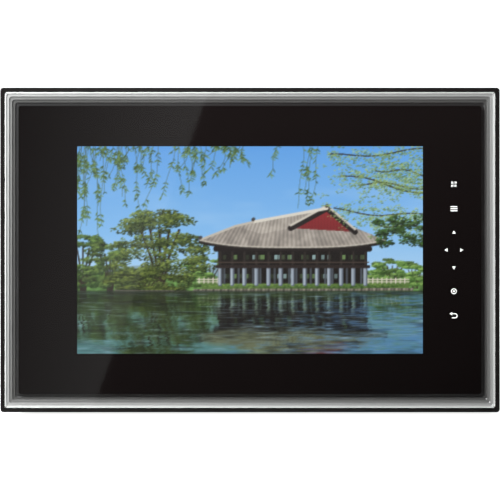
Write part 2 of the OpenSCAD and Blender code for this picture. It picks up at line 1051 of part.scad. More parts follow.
front_panel();
key_symbols();
print_mask();
stepped_ring();
front_bezel();
lcd_gasket();
lcd_frame();
lcd_glass();
light_guide();
backlight_strip();
lcd_tray();
lcd_brackets();
lcd_screws();
lcd_ribbon();
touch_board();
touch_pads();
touch_chip();
touch_ribbon();
insulating_sheet();
main_board();
processor();
memory_chips();
flash_chip();
crystal();
inductors();
capacitors();
card_socket();
usb_socket();
mini_usb_socket();
earphone_jack();
dc_jack();
dc_pin();
switch_body();
switch_slider();
cell_holder();
coin_cell();
speaker_baskets();
speaker_cones();
speaker_magnets();
speaker_gaskets();
speaker_screws();
speaker_wires();
board_screws();
rear_cover();
housing_screws();
hinge_bracket();
hinge_pin();
hinge_washers();
bracket_screws();
stand_leg();
leg_pad();
base_feet();
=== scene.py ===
# %% [markdown]
# # A digital photo frame
# The frame's working shape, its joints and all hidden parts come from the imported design.
# This lesson gives them their looks: it models the pieces that meet the eye more finely,
# paints the scene on the display, mixes every finish and sets up a small photo studio.

# %% load the design
import json
import math
import bmesh
import bpy
import numpy as np
from mathutils import Matrix, Vector


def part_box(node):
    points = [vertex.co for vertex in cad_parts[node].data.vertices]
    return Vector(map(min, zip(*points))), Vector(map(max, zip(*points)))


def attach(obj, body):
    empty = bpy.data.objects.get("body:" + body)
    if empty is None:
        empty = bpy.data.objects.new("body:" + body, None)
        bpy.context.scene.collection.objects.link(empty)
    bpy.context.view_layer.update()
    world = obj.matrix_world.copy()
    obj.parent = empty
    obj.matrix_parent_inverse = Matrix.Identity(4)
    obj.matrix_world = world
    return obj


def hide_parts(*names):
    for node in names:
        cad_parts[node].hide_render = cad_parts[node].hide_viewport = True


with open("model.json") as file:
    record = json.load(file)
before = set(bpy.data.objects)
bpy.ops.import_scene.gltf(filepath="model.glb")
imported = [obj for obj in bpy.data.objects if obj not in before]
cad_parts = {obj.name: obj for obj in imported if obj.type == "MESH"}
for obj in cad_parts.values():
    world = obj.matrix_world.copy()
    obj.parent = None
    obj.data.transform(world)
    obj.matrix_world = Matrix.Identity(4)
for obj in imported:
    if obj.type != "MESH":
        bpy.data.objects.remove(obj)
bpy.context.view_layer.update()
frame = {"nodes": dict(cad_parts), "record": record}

MM = 0.001
nodes = frame["nodes"]

# %% [markdown]
# ## Upright, then leaned back
# The body leans back on its leg, but a piece is far easier to model upright: X to the right,
# Y from the face to the back, Z up from the lower edge. The right keyhole's place and its axis
# in the design tell how far the body leans and where it stands, and one matrix does the rest.

# %% the matrix that sets an upright piece on its place
keyhole = next(m for m in frame["record"]["mounts"] if m["name"] == "right_keyhole")
keyhole_upright = Vector((50, 24, 115.5)) * MM
back_way = Vector(keyhole["axis"])
lean = math.atan2(-back_way.z, back_way.y)
lean_turn = Matrix.Rotation(-lean, 4, "X")
shift = Vector(keyhole["pos_m"]) - lean_turn @ keyhole_upright
stand = Matrix.Translation(shift) @ lean_turn

BODY_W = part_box("front_bezel")[1].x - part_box("front_bezel")[0].x
BODY_H = 143 * MM
MID_Z = BODY_H / 2
RIM_W = 1.8 * MM
PANEL_T = 2.4 * MM
PANEL_GAP = 0.15 * MM
VIEW_W = 152.4 * MM
VIEW_H = 91.44 * MM
print("leans back", round(math.degrees(lean), 2), "degrees; body", round(BODY_W / MM, 1), "mm wide")

# %% [markdown]
# ## Small helpers
# Operators work on whatever is selected, so each step starts from a clean selection, and edges
# are picked by how they lie. A finished piece takes over the body of the piece of the design
# that it stands for.

# %% helpers for modelling
BODY_OF = {node: body for body, names in frame["record"]["behaviour"]["bodies"].items()
           for node in names}


def only(piece):
    """Selects one object and makes it active."""
    if bpy.context.object and bpy.context.object.mode != "OBJECT":
        bpy.ops.object.mode_set(mode="OBJECT")
    bpy.ops.object.select_all(action="DESELECT")
    piece.select_set(True)
    bpy.context.view_layer.objects.active = piece


def pick_edges(test):
    """In edit mode, selects the edges that a test is true for."""
    mesh = bmesh.from_edit_mesh(bpy.context.object.data)
    bpy.ops.mesh.select_all(action="DESELECT")
    bpy.ops.mesh.select_mode(type="EDGE")
    for edge in mesh.edges:
        if test(edge):
            edge.select_set(True)
    mesh.select_flush_mode()
    bmesh.update_edit_mesh(bpy.context.object.data)


def modify(piece, kind, **settings):
    """Adds a modifier and applies it."""
    only(piece)
    made = piece.modifiers.new(kind.title(), kind)
    for key, value in settings.items():
        setattr(made, key, value)
    bpy.ops.object.modifier_apply(modifier=made.name)


def stand_in(piece, node_name):
    """Says which piece of the design this one stands for, and where it belongs."""
    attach(piece, BODY_OF[node_name])
    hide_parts(node_name)
    print(piece.name, "has", len(piece.data.polygons), "faces")


def settle(piece, name, node_name):
    """Names an upright piece and leans it back into its place."""
    only(piece)
    bpy.ops.object.transform_apply(location=True, rotation=True, scale=True)
    piece.data.transform(stand)
    piece.name = name
    piece.data.name = name
    stand_in(piece, node_name)


# %% [markdown]
# ## Mixing finishes
# Colours are written as the hex codes a screen shows and turned to the linear values that light
# works with. One helper adds a shader node with its settings, values and links.

# %% helpers for materials
def tint(code):
    """A hex colour as red, green and blue from 0 to 1, as a screen shows them."""
    return np.array([int(code[i:i + 2], 16) / 255 for i in (1, 3, 5)])


def to_linear(shown):
    """Turns values that a screen shows into linear light."""
    return np.where(shown <= 0.04045, shown / 12.92, ((shown + 0.055) / 1.055) ** 2.4)


def linear(code):
    """A hex colour as linear red, green and blue, fully opaque."""
    return [*to_linear(tint(code)), 1.0]


def new_finish(name):
    """An empty material with its output."""
    material = bpy.data.materials.new(name)
    material.use_nodes = True
    material.node_tree.nodes.clear()
    return material, material.node_tree


def add(tree, kind, values=None, links=None, **settings):
    """Adds one shader node."""
    made = tree.nodes.new("ShaderNode" + kind)
    for key, value in settings.items():
        setattr(made, key, value)
    for key, value in (values or {}).items():
        made.inputs[key].default_value = value
    for key, source in (links or {}).items():
        tree.links.new(source, made.inputs[key])
    return made


def output(tree, shader):
    """Shows a shader as the material's surface."""
    add(tree, "OutputMaterial", links={"Surface": shader.outputs[0]})


def noise_at(tree, size, detail=2.0, stretch=(1, 1, 1)):
    """Noise whose grains are about the given size, in metres."""
    place = add(tree, "TexCoord")
    scaled = add(tree, "Mapping", {"Scale": [s / size for s in stretch]},
                 {"Vector": place.outputs["Object"]})
    return add(tree, "TexNoise", {"Scale": 1.0, "Detail": detail}, {"Vector": scaled.outputs[0]})


print("a mid grey on the screen is", round(float(linear("#808080")[0]), 3), "of white's light")

# %% [markdown]
# A moulded or plated surface is never one flat colour. Its tone drifts a little over
# centimetres, its gloss is broken by fine marks, and a grain or an orange peel catches light.
# One recipe covers them all: each finish gives its own colours, gloss, grain size and depth.

# %% the common recipe for a solid surface
def surface(name, low, high, gloss, metallic=0.0, ior=1.5, drift=12 * MM, grain=0.3 * MM,
            depth=0.02 * MM, stretch=(1, 1, 1), spread=0.08, coat=0.0, light=0.0, shine=0.5):
    """A solid finish: two near tones, a gloss that varies, and a fine grain."""
    material, tree = new_finish(name)
    tone = noise_at(tree, drift, 3.0)
    mark = noise_at(tree, grain, 3.0, stretch)
    both = add(tree, "Math", {}, {0: tone.outputs["Fac"], 1: mark.outputs["Fac"]}, operation="ADD")
    middle = add(tree, "Math", {1: 0.5}, {0: both.outputs[0]}, operation="MULTIPLY")
    ramp = add(tree, "ValToRGB", links={"Fac": middle.outputs[0]})
    for element, position, code in zip(ramp.color_ramp.elements, (0.35, 0.65), (low, high)):
        element.position = position
        element.color = linear(code)
    rough = add(tree, "MapRange", {"From Min": 0.3, "From Max": 0.7, "To Min": gloss - spread / 2,
                                   "To Max": gloss + spread / 2}, {"Value": mark.outputs["Fac"]})
    bump = add(tree, "Bump", {"Strength": 1.0, "Distance": depth}, {"Height": mark.outputs["Fac"]})
    values = {"Metallic": metallic, "IOR": ior, "Coat Weight": coat, "Coat Roughness": 0.08,
              "Emission Strength": light, "Specular IOR Level": shine}
    # A finish given light glows faintly in its lighter tone: painted light, as no lamp lights it so
    # brightly.
    if light:
        values["Emission Color"] = linear(high)
    shader = add(tree, "BsdfPrincipled", values, {"Base Color": ramp.outputs["Color"],
                 "Roughness": rough.outputs[0], "Normal": bump.outputs[0]})
    output(tree, shader)
    return material


def dress(node_name, material):
    """Gives a piece of the design its finish."""
    mesh = nodes[node_name].data
    mesh.materials.clear()
    mesh.materials.append(material)


print("ready to mix finishes for", len(nodes), "pieces")

# %% [markdown]
# ### Plastics
# The front shell is ABS from a polished mould: nearly black, glossy, with a faint orange peel.
# The rear cover and the leg come from a spark-eroded mould, which leaves a fine matt grain of
# about a quarter of a millimetre, drawn slightly coarser here so that it shows.

# %% black plastics and rubber
polished_abs = surface("polished_black_abs", "#0a0a09", "#0f0f0e", 0.16, ior=1.54, drift=30 * MM,
                       grain=2.5 * MM, depth=0.004 * MM, spread=0.08)
grained_abs = surface("spark_grained_black_abs", "#131314", "#1d1d1f", 0.52, ior=1.54,
                      grain=0.35 * MM, depth=0.03 * MM, spread=0.12)
leg_abs = surface("spark_grained_leg_abs", "#161617", "#212123", 0.5, ior=1.54,
                  grain=0.35 * MM, depth=0.03 * MM, spread=0.12)
knob_abs = surface("matt_knob_abs", "#1a1a1b", "#262628", 0.5, ior=1.54, grain=0.3 * MM)
socket_nylon = surface("moulded_socket_nylon", "#101010", "#1a1a1a", 0.42, ior=1.53,
                       grain=0.4 * MM, depth=0.01 * MM)
foot_rubber = surface("moulded_foot_rubber", "#0e0e0e", "#191918", 0.8, ior=1.52,
                      grain=0.25 * MM, depth=0.03 * MM)
cell_foam = surface("closed_cell_foam", "#161616", "#2a2a2a", 0.9, grain=0.5 * MM, depth=0.12 * MM)
print(len(bpy.data.materials), "plastics and rubbers")

# %% [markdown]
# ### Metals
# Sheet parts are tinned or nickel plated, with fine rolling lines along the sheet. Screws are
# zinc or black zinc. A metal's colour is its reflection, so its tone is kept light and its
# roughness says how it was made.

# %% plated and rolled metals
tinned_steel = surface("tinned_sheet_steel", "#b4b5b2", "#cfd0cc", 0.34, 1.0, grain=0.2 * MM,
                       depth=0.004 * MM, stretch=(0.06, 1, 1))
nickel_steel = surface("nickel_plated_steel", "#9d9c99", "#bdbcb8", 0.3, 1.0, grain=0.2 * MM,
                       depth=0.004 * MM, stretch=(0.06, 1, 1))
ground_steel = surface("ground_pin_steel", "#a9aaac", "#c9cacc", 0.25, 1.0, grain=0.15 * MM,
                       depth=0.003 * MM, stretch=(1, 0.1, 0.1))
zinc_screw = surface("zinc_plated_screw", "#b1b6bc", "#cfd3d6", 0.32, 1.0, grain=0.3 * MM)
black_zinc = surface("black_zinc_screw", "#1b1b1e", "#2c2c30", 0.36, 0.9, grain=0.3 * MM,
                     depth=0.006 * MM)
bright_nickel = surface("bright_nickel_can", "#c2c1bd", "#d9d8d4", 0.2, 1.0, grain=0.6 * MM,
                        depth=0.002 * MM)
aluminium_can = surface("drawn_aluminium_can", "#b9babb", "#d4d5d6", 0.28, 1.0, grain=0.3 * MM,
                        depth=0.003 * MM)
gold_plate = surface("gold_plated_contact", "#c99a45", "#e6bf6a", 0.28, 1.0, grain=0.2 * MM,
                     depth=0.002 * MM)
print(len(bpy.data.materials), "finishes with the metals")

# %% [markdown]
# ### Inside
# Circuit boards are glass fibre under green lacquer, with copper tracks that show as paler
# lines. A brick pattern gives the tracks: its joints are the lines, about two millimetres apart.
# Chips are matt resin, films are thin and a little glossy, and ferrite is dull and grainy.

# %% boards, chips and the rest of the inside
def board_lacquer():
    """Green solder resist over copper tracks."""
    material, tree = new_finish("green_solder_resist")
    place = add(tree, "TexCoord")
    scaled = add(tree, "Mapping", {"Scale": [1 / (6 * MM)] * 3}, {"Vector": place.outputs["Object"]})
    tracks = add(tree, "TexBrick", {"Color1": linear("#0d5a2c"), "Color2": linear("#0b4c26"),
                 "Mortar": linear("#2b8a4c"), "Scale": 1.0, "Mortar Size": 0.04,
                 "Brick Width": 0.9, "Row Height": 0.32}, {"Vector": scaled.outputs[0]})
    grain = noise_at(tree, 0.4 * MM)
    bump = add(tree, "Bump", {"Distance": 0.01 * MM}, {"Height": grain.outputs["Fac"]})
    output(tree, add(tree, "BsdfPrincipled", {"Roughness": 0.3, "IOR": 1.52}, {
        "Base Color": tracks.outputs["Color"], "Normal": bump.outputs[0]}))
    return material


chip_resin = surface("moulded_chip_resin", "#131313", "#202020", 0.55, grain=0.12 * MM)
ferrite = surface("sintered_ferrite", "#2b2c2f", "#3d3e42", 0.6, grain=0.2 * MM, depth=0.03 * MM)
amber_film = surface("amber_film_circuit", "#a9601a", "#cf8532", 0.3, grain=0.5 * MM,
                     stretch=(1, 0.02, 0.02), coat=0.3)
milky_film = surface("milky_insulating_film", "#cfcdc2", "#e3e1d6", 0.35, grain=0.6 * MM)
diffuser = surface("white_diffuser_acrylic", "#e4e8ec", "#f3f5f7", 0.3, grain=0.8 * MM)
lamp_board = surface("white_lamp_board", "#d9d3a8", "#f2ecc4", 0.4, grain=0.6 * MM)
cone_paper = surface("pressed_cone_paper", "#141414", "#262524", 0.85, grain=0.3 * MM,
                     depth=0.06 * MM)
red_pvc = surface("red_wire_pvc", "#8d1410", "#b3211a", 0.35, grain=0.4 * MM, depth=0.005 * MM)
green_board = board_lacquer()
print(len(bpy.data.materials), "finishes with the inside")

# %% [markdown]
# ### The front's own finishes
# The panel is cast acrylic, polished: light goes straight through it and a few percent is
# mirrored, more at a slant, which Fresnel's law gives. It is thin and flat, so a see-through
# shader mixed with a glossy one shows it as well as refraction would, with far less noise. Only
# faces seen from outside mirror, because light that goes in unbent has to come out again.
#
# Screen print is bonded to the back of the panel, so the ink has no shine of its own: all that
# glints is the panel's surface. The black is slightly warm. The ring under the clear border is
# plastic with a vacuum coat of silver, and its colour is drawn darker level by level inwards.

# %% acrylic, prints and the silver ring
def clear_sheet(name, ior, gloss):
    """A thin clear sheet: see-through, with a mirror-like surface."""
    material, tree = new_finish(name)
    haze = noise_at(tree, 40 * MM)
    rough = add(tree, "MapRange", {"To Min": gloss, "To Max": gloss * 2.5},
                {"Value": haze.outputs["Fac"]})
    clear = add(tree, "BsdfTransparent", {"Color": linear("#fbfcfc")})
    mirror = add(tree, "BsdfAnisotropic", {"Color": linear("#ffffff")},
                 {"Roughness": rough.outputs[0]}, distribution="GGX")
    law = add(tree, "Fresnel", {"IOR": ior})
    side = add(tree, "NewGeometry")
    outside = add(tree, "Math", {0: 1.0}, {1: side.outputs["Backfacing"]}, operation="SUBTRACT")
    share = add(tree, "Math", {}, {0: law.outputs[0], 1: outside.outputs[0]}, operation="MULTIPLY")
    output(tree, add(tree, "MixShader", {}, {0: share.outputs[0], 1: clear.outputs[0],
                                             2: mirror.outputs[0]}))
    return material


cast_acrylic = clear_sheet("polished_cast_acrylic", 1.49, 0.012)

black_print = surface("black_screen_print", "#040303", "#070505", 0.5, grain=0.5 * MM,
                      depth=0.001 * MM, drift=60 * MM, shine=0.0)
# The white print glows faintly: a painted glow that makes the key symbols look brighter.
white_print_with_painted_glow = surface("white_screen_print_painted_glow", "#e9e9e7", "#f4f4f2", 0.5, grain=0.4 * MM,
                      depth=0.001 * MM, light=0.2, shine=0.0)


def stepped_silver():
    """Satin silver whose tone follows the piece's own fade, from the lip inwards."""
    material, tree = new_finish("satin_silver_lacquer")
    fade = add(tree, "Attribute", attribute_name="fade")
    ramp = add(tree, "ValToRGB", links={"Fac": fade.outputs["Fac"]})
    # Each level is drawn darker than the one outside it, from silver at the lip to near black.
    tones = ("#c6c5c3", "#8d8c8b", "#605f5e", "#3b3a39", "#171616", "#050505")
    for i in range(1, len(tones) - 1):
        ramp.color_ramp.elements.new(i / (len(tones) - 1))
    for element, code in zip(ramp.color_ramp.elements, tones):
        element.color = linear(code)
    satin = noise_at(tree, 0.25 * MM)
    rough = add(tree, "MapRange", {"To Min": 0.34, "To Max": 0.46}, {"Value": satin.outputs["Fac"]})
    bump = add(tree, "Bump", {"Distance": 0.003 * MM}, {"Height": satin.outputs["Fac"]})
    output(tree, add(tree, "BsdfPrincipled", {"Metallic": 0.2}, {
        "Base Color": ramp.outputs["Color"], "Roughness": rough.outputs[0],
        "Normal": bump.outputs[0]}))
    return material


silver_ring = stepped_silver()
print(len(bpy.data.materials), "finishes with the front")

# %% [markdown]
# ## Carrying over the design's own pieces
# Pieces whose shape is right already keep their mesh and only get their finish.

# %% finishes for the pieces of the design
FINISHES = {
    cast_acrylic: ["front_panel"],
    white_print_with_painted_glow: ["key_symbols"],
    black_print: ["print_mask"],
    cell_foam: ["lcd_gasket", "speaker_gaskets"],
    tinned_steel: ["lcd_frame", "lcd_tray", "lcd_brackets", "crystal", "card_socket",
                   "usb_socket", "mini_usb_socket", "switch_body"],
    diffuser: ["light_guide"],
    lamp_board: ["backlight_strip"],
    amber_film: ["lcd_ribbon", "touch_ribbon"],
    green_board: ["touch_board", "main_board"],
    gold_plate: ["touch_pads", "dc_pin"],
    chip_resin: ["touch_chip", "processor", "memory_chips", "flash_chip"],
    milky_film: ["insulating_sheet"],
    ferrite: ["inductors"],
    aluminium_can: ["capacitors"],
    socket_nylon: ["earphone_jack", "dc_jack", "cell_holder"],
    bright_nickel: ["coin_cell", "speaker_magnets"],
    zinc_screw: ["lcd_screws", "speaker_baskets", "speaker_screws", "board_screws"],
    cone_paper: ["speaker_cones"],
    red_pvc: ["speaker_wires"],
    ground_steel: ["hinge_pin", "hinge_washers"],
}
for material, names in FINISHES.items():
    for name in names:
        dress(name, material)
print(sum(len(names) for names in FINISHES.values()), "pieces of the design dressed")

# %% [markdown]
# ## Housings, leg and screws
# No moulded edge is perfectly sharp: it has a small radius that catches a thin line of light,
# and without it a model looks cut from paper. These pieces start as copies of the design's
# shapes, so they fit, and every edge is rounded by a bevel of a few tenths of a millimetre.
# Weighted normals then keep the flat faces beside the bevels looking flat.
#
# Light that enters the clear panel bends inwards and lights the ring right up to the rim. Here
# it goes straight through and would leave the ring's edge in the rim's shadow, so the rim casts
# none.

# %% copies with softened edges
SHARP = math.radians(35)


def soften(node_name, material, radius):
    """Copies a piece of the design, joins its faces and rounds its edges."""
    piece = bpy.data.objects.new(node_name + "_moulded", nodes[node_name].data.copy())
    bpy.context.collection.objects.link(piece)
    piece.data.materials.clear()
    piece.data.materials.append(material)
    only(piece)
    bpy.ops.object.mode_set(mode="EDIT")
    bpy.ops.mesh.select_all(action="SELECT")
    bpy.ops.mesh.remove_doubles(threshold=0.002 * MM)
    bpy.ops.mesh.dissolve_limited(angle_limit=math.radians(0.6))
    bpy.ops.object.mode_set(mode="OBJECT")
    modify(piece, "BEVEL", width=radius, segments=2, limit_method="ANGLE",
           angle_limit=SHARP, use_clamp_overlap=True)
    bpy.ops.object.shade_smooth_by_angle(angle=SHARP)
    modify(piece, "WEIGHTED_NORMAL", mode="FACE_AREA", weight=50, keep_sharp=True)
    stand_in(piece, node_name)


MOULDED = {
    "front_bezel": (polished_abs, 0.25),
    "rear_cover": (grained_abs, 0.25),
    "stand_leg": (leg_abs, 0.4),
    "leg_pad": (foot_rubber, 0.4),
    "base_feet": (foot_rubber, 0.3),
    "hinge_bracket": (nickel_steel, 0.15),
    "switch_slider": (knob_abs, 0.12),
    "housing_screws": (black_zinc, 0.12),
    "bracket_screws": (black_zinc, 0.12),
}
for name, (material, radius) in MOULDED.items():
    soften(name, material, radius * MM)
bpy.data.objects["front_bezel_moulded"].visible_shadow = False

# %% [markdown]
# ## The stepped ring
# Under the clear border lies a silver ring with five levels: a narrow bright lip, and four
# terraces that go down towards the picture and darken as they go. It is one sheet: a rectangle
# is inset again and again, once downwards for a riser and once flat for the terrace below it,
# so the corners stay mitred by themselves. A bevel then rounds the mitres, and Solidify gives
# the sheet its thickness. Each face keeps a number for its level, which its finish reads.

# %% terraces by repeated insets
RING_GAP = 0.05 * MM
LIP_W = 0.5 * MM
TERRACES = 4
TERRACE_W = 1.32 * MM
TERRACE_DROP = 0.32 * MM
RISER_W = 0.45 * MM
RING_SKIN = 0.3 * MM
UNDER_PRINT = 2 * MM
CORNER = 0.7 * MM


def slants(edge):
    """True for an edge that runs neither along the frame nor up it."""
    a, b = (v.co for v in edge.verts)
    return min(abs(a.x - b.x), abs(a.z - b.z)) > 0.01 * MM


def stepped_ring():
    """The silver ring, from the lip down to the edge that the print hides."""
    wide = BODY_W - 2 * (RIM_W + PANEL_GAP)
    high = BODY_H - 2 * (RIM_W + PANEL_GAP)
    bpy.ops.mesh.primitive_plane_add(size=1, rotation=(math.pi / 2, 0, 0),
                                     location=(0, PANEL_T + RING_GAP, MID_Z))
    ring = bpy.context.object
    ring.scale = (wide, high, 1)
    only(ring)
    bpy.ops.object.transform_apply(location=True, rotation=True, scale=True)
    bpy.ops.object.mode_set(mode="EDIT")
    bpy.ops.mesh.select_all(action="SELECT")
    bpy.ops.mesh.inset(thickness=LIP_W, depth=0)
    for _ in range(TERRACES):
        bpy.ops.mesh.inset(thickness=RISER_W, depth=-TERRACE_DROP)
        bpy.ops.mesh.inset(thickness=TERRACE_W - RISER_W, depth=0)
    bpy.ops.mesh.inset(thickness=UNDER_PRINT, depth=0)
    bpy.ops.mesh.delete(type="FACE")
    pick_edges(slants)
    bpy.ops.mesh.bevel(offset=CORNER, segments=3)
    bpy.ops.object.mode_set(mode="OBJECT")
    fade = ring.data.attributes.new("fade", "FLOAT", "FACE")
    for face in ring.data.polygons:
        inwards = min(wide / 2 - abs(face.center.x), high / 2 - abs(face.center.z - MID_Z))
        level = 1 + int((inwards - LIP_W) / TERRACE_W) if inwards > LIP_W else 0
        fade.data[face.index].value = min(level / (TERRACES + 1), 1.0)
    modify(ring, "SOLIDIFY", thickness=RING_SKIN, offset=-1)
    ring.data.materials.append(silver_ring)
    settle(ring, "silver_terraces", "stepped_ring")


stepped_ring()

# %% [markdown]
# ## The picture on the display
# A display gives off light, so its picture is a glow and not a paint. It could be an image file,
# but a scene that is painted in code stays sharp, small and free to change. This one is a made-up
# view: a tiled hall by a lake between pines, with willow twigs hanging in from above. Colours go
# on a canvas of small cells, and x and y are measured in picture heights from the lower left.

# %% the painter's canvas
PICTURE_STEP = 0.44 * MM
COLS = int(VIEW_W / PICTURE_STEP) + 1
ROWS = int(VIEW_H / PICTURE_STEP) + 1
FINE = 2
WIDE, HIGH = COLS * FINE, ROWS * FINE
SPAN = WIDE / HIGH
SHORE = 0.305
rng = np.random.default_rng(7)
X, Y = np.meshgrid((np.arange(WIDE) + 0.5) / HIGH, (np.arange(HIGH) + 0.5) / HIGH)
canvas = np.zeros((HIGH, WIDE, 3))
EVERYWHERE = (slice(None), slice(None))


def cells(x0, x1, y0, y1):
    """The part of the canvas that a rectangle covers."""
    left, right = max(int(x0 * HIGH) - 1, 0), min(int(x1 * HIGH) + 2, WIDE)
    low, high = max(int(y0 * HIGH) - 1, 0), min(int(y1 * HIGH) + 2, HIGH)
    return slice(low, max(high, low)), slice(left, max(right, left))


def lay(area, cover, colour):
    """Lays a colour over part of the canvas, as thickly as cover says."""
    cover = np.clip(cover, 0, 1)[..., None]
    canvas[area] = canvas[area] * (1 - cover) + colour * cover


print("canvas of", WIDE, "by", HIGH, "cells")

# %% [markdown]
# ### Brushes
# Three brushes paint the trees, the hall and the twigs: one fills an outline, one draws a line
# through points, and one dabs a small slanted oval. Each works on its own rectangle of the
# canvas only, which keeps thousands of touches quick.

# %% brushes
def shape(points, colour, texture=None):
    """Fills an outline, evenly or with a texture that varies its brightness."""
    p = np.array(points, float)
    area = cells(p[:, 0].min(), p[:, 0].max(), p[:, 1].min(), p[:, 1].max())
    x, y = X[area], Y[area]
    inside = np.zeros(x.shape, bool)
    for a, b in zip(p, np.roll(p, -1, 0)):
        if a[1] != b[1]:
            crossing = (b[0] - a[0]) * (y - a[1]) / (b[1] - a[1]) + a[0]
            inside ^= ((a[1] > y) != (b[1] > y)) & (x < crossing)
    lay(area, inside, colour if texture is None else colour * texture(x, y)[..., None])


def stroke(points, width, colour, strength=1.0):
    """Draws a line through points."""
    for a, b in zip(np.array(points[:-1], float), np.array(points[1:], float)):
        low, high = np.minimum(a, b) - width, np.maximum(a, b) + width
        area = cells(low[0], high[0], low[1], high[1])
        x, y = X[area] - a[0], Y[area] - a[1]
        d = b - a
        t = np.clip((x * d[0] + y * d[1]) / max(d @ d, 1e-9), 0, 1)
        away = np.hypot(x - t * d[0], y - t * d[1])
        lay(area, strength * np.clip((width / 2 - away) * HIGH + 0.5, 0, 1), colour)


def dab(x, y, length, width, turn, colour, strength=0.9):
    """One touch of the brush: a small slanted oval."""
    area = cells(x - length, x + length, y - length, y + length)
    dx, dy = X[area] - x, Y[area] - y
    along = (dx * math.cos(turn) + dy * math.sin(turn)) / length
    across = (dy * math.cos(turn) - dx * math.sin(turn)) / width
    lay(area, strength * np.clip((1 - np.hypot(along, across)) * width * HIGH + 0.3, 0, 1), colour)


print("one cell of the canvas is", round(1 / HIGH, 4), "picture heights wide")

# %% [markdown]
# ### Sky and far bank
# A clear sky is deepest overhead and pales towards the horizon, with a thin haze. The far bank
# is a blue-grey hill and a line of woods before it. Smooth noise, made of ever finer grids of
# chance values added up, gives the haze and both outlines.

# %% sky and far bank
def clouds(nx, ny, octaves, seed):
    """Smooth noise between 0 and 1 all over the canvas."""
    noise = np.random.default_rng(seed)
    total = np.zeros((HIGH, WIDE))
    for o in range(octaves):
        grid = noise.random((ny * 2 ** o + 2, nx * 2 ** o + 2))
        gx, gy = X / SPAN * nx * 2 ** o, Y * ny * 2 ** o
        ix, iy = gx.astype(int), gy.astype(int)
        fx, fy = [f * f * (3 - 2 * f) for f in (gx - ix, gy - iy)]
        lower = grid[iy, ix] * (1 - fx) + grid[iy, ix + 1] * fx
        upper = grid[iy + 1, ix] * (1 - fx) + grid[iy + 1, ix + 1] * fx
        total += (lower * (1 - fy) + upper * fy) * 0.5 ** o
    return total / (2 - 0.5 ** (octaves - 1))


def paint_sky():
    """Three blues run into each other, with haze low down."""
    high, middle, low = tint("#62a2e6"), tint("#86bcee"), tint("#b9d8f1")
    t = np.clip((Y - SHORE) / (1 - SHORE), 0, 1)[..., None]
    canvas[:] = np.where(t < 0.4, low + (middle - low) * t / 0.4,
                         middle + (high - middle) * (t - 0.4) / 0.6)
    haze = np.clip(clouds(4, 9, 5, 3) - 0.55, 0, 1) * np.clip(1.1 - t[..., 0], 0, 1)
    lay(EVERYWHERE, haze, tint("#e8f1f8"))


def paint_far_bank():
    """A hill, and the woods before it."""
    hill = SHORE + 0.08 + 0.03 * np.sin(X[0] * 2.1 + 0.4) + 0.03 * clouds(9, 1, 4, 21)[0]
    lay(EVERYWHERE, (hill - Y) * HIGH, tint("#86a2b2"))
    wood = SHORE + 0.05 + 0.07 * clouds(14, 1, 5, 11)[0]
    shade = clouds(60, 34, 4, 5)[..., None]
    lay(EVERYWHERE, (wood - Y) * HIGH, tint("#56793f") * (0.35 + 1.3 * shade))


print("the shore lies at", SHORE, "of the picture's height")

# %% [markdown]
# ### Trees
# Leaves are what makes a tree look like one, so each leaf is a dab of its own: dark below and
# inside, pale where the sun reaches it. Limbs come first, then clumps from the back to the front.

# %% trees
def clump(x, y, wide, high, count, dark, light, leaf=0.006):
    """A clump of leaves, dark below and sunlit at the upper left."""
    for _ in range(count):
        a, r = rng.uniform(0, math.tau), math.sqrt(rng.random())
        dx, dy = r * math.cos(a), r * math.sin(a)
        sun = np.clip(0.42 + 0.42 * dy - 0.2 * dx + rng.normal(0, 0.22), 0, 1)
        dab(x + wide * dx, y + high * dy, leaf * rng.uniform(0.6, 1.5), leaf * rng.uniform(0.35, 0.7),
            rng.uniform(-0.6, 0.6), dark + (light - dark) * sun)


def paint_tree(x, foot, high, reach, dark, light, clumps):
    """A spreading tree: its limbs, then clumps of leaves from the back to the front."""
    for side in np.linspace(-0.6, 0.6, 5):
        knee = (x + side * reach * 0.3, foot + high * 0.4)
        stroke([(x + side * 0.02, foot), knee, (x + side * reach * 0.7, foot + high * 0.75)],
               0.012 * high / 0.4, tint("#2d251d"))
    for i in range(clumps):
        level = rng.uniform(0.08, 0.97)
        half = reach * math.sqrt(max(1 - (level - 0.42) ** 2 / 0.36, 0.04))
        depth = 0.7 + 0.5 * i / clumps
        clump(x + rng.uniform(-1, 1) * half, foot + high * level, reach * rng.uniform(0.14, 0.30),
              high * rng.uniform(0.035, 0.065), 46, dark * depth, light * min(depth, 1.05), 0.0065)


FAR_TREES = ((1.42, 0.10, 0.115), (1.52, 0.12, 0.145), (1.63, 0.08, 0.12), (0.64, 0.12, 0.15))
NEAR_TREES = ((0.03, 0.0, 0.27, 0.14, "#1b3015", "#718f43", 46),
              (0.16, -0.005, 0.24, 0.12, "#1e2f18", "#7b9549", 40),
              (0.40, -0.01, 0.40, 0.22, "#1c2a12", "#8b9c4b", 110),
              (0.33, -0.02, 0.13, 0.19, "#18240e", "#7d8c3a", 44))


def paint_trees():
    """Small pale trees far off, then the dark ones on the near bank."""
    for x, reach, high in FAR_TREES:
        paint_tree(x, SHORE + 0.01, high, reach, tint("#31501f"), tint("#94b862"), 34)
    for x, sink, high, reach, dark, light, clumps in NEAR_TREES:
        paint_tree(x, SHORE + sink, high, reach, tint(dark), tint(light), clumps)


print(len(FAR_TREES) + len(NEAR_TREES), "trees")

# %% [markdown]
# ### The hall and its terrace
# A made-up wooden hall: grey posts below, a dark storey with a railing, and a wide tiled roof
# with a red gable. Seen from so far, filled outlines and strokes do for its storeys.

# %% the hall's storeys
HALL = (0.68, 1.40)
GROUND, DECK, EAVE, RIDGE = SHORE + 0.035, SHORE + 0.112, SHORE + 0.182, SHORE + 0.395


